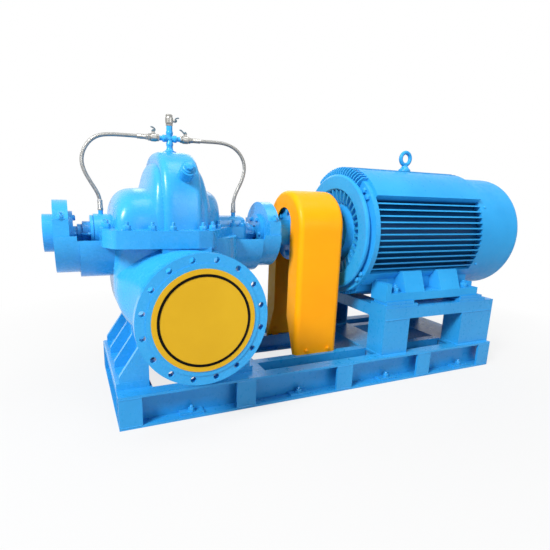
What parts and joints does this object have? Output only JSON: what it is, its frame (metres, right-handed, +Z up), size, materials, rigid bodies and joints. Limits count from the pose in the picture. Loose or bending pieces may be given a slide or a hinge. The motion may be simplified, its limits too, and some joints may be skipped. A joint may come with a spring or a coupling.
{
  "type": "horizontal split-case pump set",
  "caption": "Double-suction split-case centrifugal pump coupled to a finned electric motor under an arched guard, on a welded channel skid.",
  "frame": {"origin": "on the floor, at the centre of the skid's anchor bolts, under the shaft's centre line", "axes": "+X along the shaft from pump to motor, +Y from the suction flange to the discharge flange, +Z up"},
  "size_m": [2.506, 1.0782, 1.294],
  "materials": {
    "blue_paint_skid": "gloss",
    "blue_paint_casting": "gloss",
    "blue_paint_motor": "gloss",
    "orange_paint": "semi-gloss",
    "yellow_cover": "satin",
    "black_ring": "satin",
    "steel": "turned",
    "coupling_iron": "machined",
    "bright_fittings": "polished",
    "braid": "woven wire"
  },
  "bodies": {
    "plant": {"bearing_cover_left": "blue_paint_casting", "bearing_cover_right": "blue_paint_casting", "bearing_housing_left": "blue_paint_casting", "bearing_housing_right": "blue_paint_casting", "casing_lower": "blue_paint_casting", "casing_upper": "blue_paint_casting", "discharge_cover": "blue_paint_casting", "gland_left": "blue_paint_casting", "gland_right": "blue_paint_casting", "guard_cover": "orange_paint", "guard_feet": "orange_paint", "hose_fittings_left": "bright_fittings", "hose_fittings_right": "bright_fittings", "hose_left": "braid", "hose_nipples": "blue_paint_casting", "hose_right": "braid", "inner_cover_left": "blue_paint_casting", "inner_cover_right": "blue_paint_casting", "motor_bearing_cap": "blue_paint_motor", "motor_eyebolt": "blue_paint_motor", "motor_fan_cowl": "blue_paint_motor", "motor_frame": "blue_paint_motor", "motor_shield": "blue_paint_motor", "motor_terminal_box": "blue_paint_motor", "skid_anchor_lugs": "blue_paint_skid", "skid_bearers": "blue_paint_skid", "skid_end_beams": "blue_paint_skid", "skid_front_beam": "blue_paint_skid", "skid_inner_rails": "blue_paint_skid", "skid_rear_beam": "blue_paint_skid", "stand_cross_rails": "blue_paint_skid", "stand_long_rails": "blue_paint_skid", "stand_packing_plates": "blue_paint_skid", "stand_posts": "blue_paint_skid", "suction_cover": "yellow_cover", "suction_cover_ring": "black_ring", "vent_cross": "blue_paint_casting", "vent_riser": "blue_paint_casting", "vent_side_nipples": "bright_fittings", "vent_top_nipple": "blue_paint_casting", "vent_valve_left": "bright_fittings", "vent_valve_right": "bright_fittings", "vent_valve_top": "bright_fittings"},
    "rotor": {"pump_shaft": "steel", "shaft_sleeves": "steel", "coupling_pump_half": "coupling_iron", "coupling_motor_half": "coupling_iron", "coupling_pins": "steel", "motor_shaft": "steel"},
    "left_lever": {"vent_lever_left": "bright_fittings"},
    "right_lever": {"vent_lever_right": "bright_fittings"},
    "top_lever": {"vent_lever_top": "bright_fittings"}
  },
  "joints": [
    {"name": "shaft_rotation", "type": "hinge", "parent": "plant", "child": "rotor", "pos_m": [-0.798, 0, 0.762], "axis": [1, 0, 0], "continuous": true},
    {"name": "left_valve", "type": "hinge", "parent": "plant", "child": "left_lever", "pos_m": [-0.868, 0, 1.174], "axis": [0, 0, 1], "range_deg": [0, 90]},
    {"name": "right_valve", "type": "hinge", "parent": "plant", "child": "right_lever", "pos_m": [-0.728, 0, 1.174], "axis": [0, 0, -1], "range_deg": [0, 90]},
    {"name": "top_valve", "type": "hinge", "parent": "plant", "child": "top_lever", "pos_m": [-0.798, 0, 1.25], "axis": [1, 0, 0], "range_deg": [0, 90]}
  ]
}
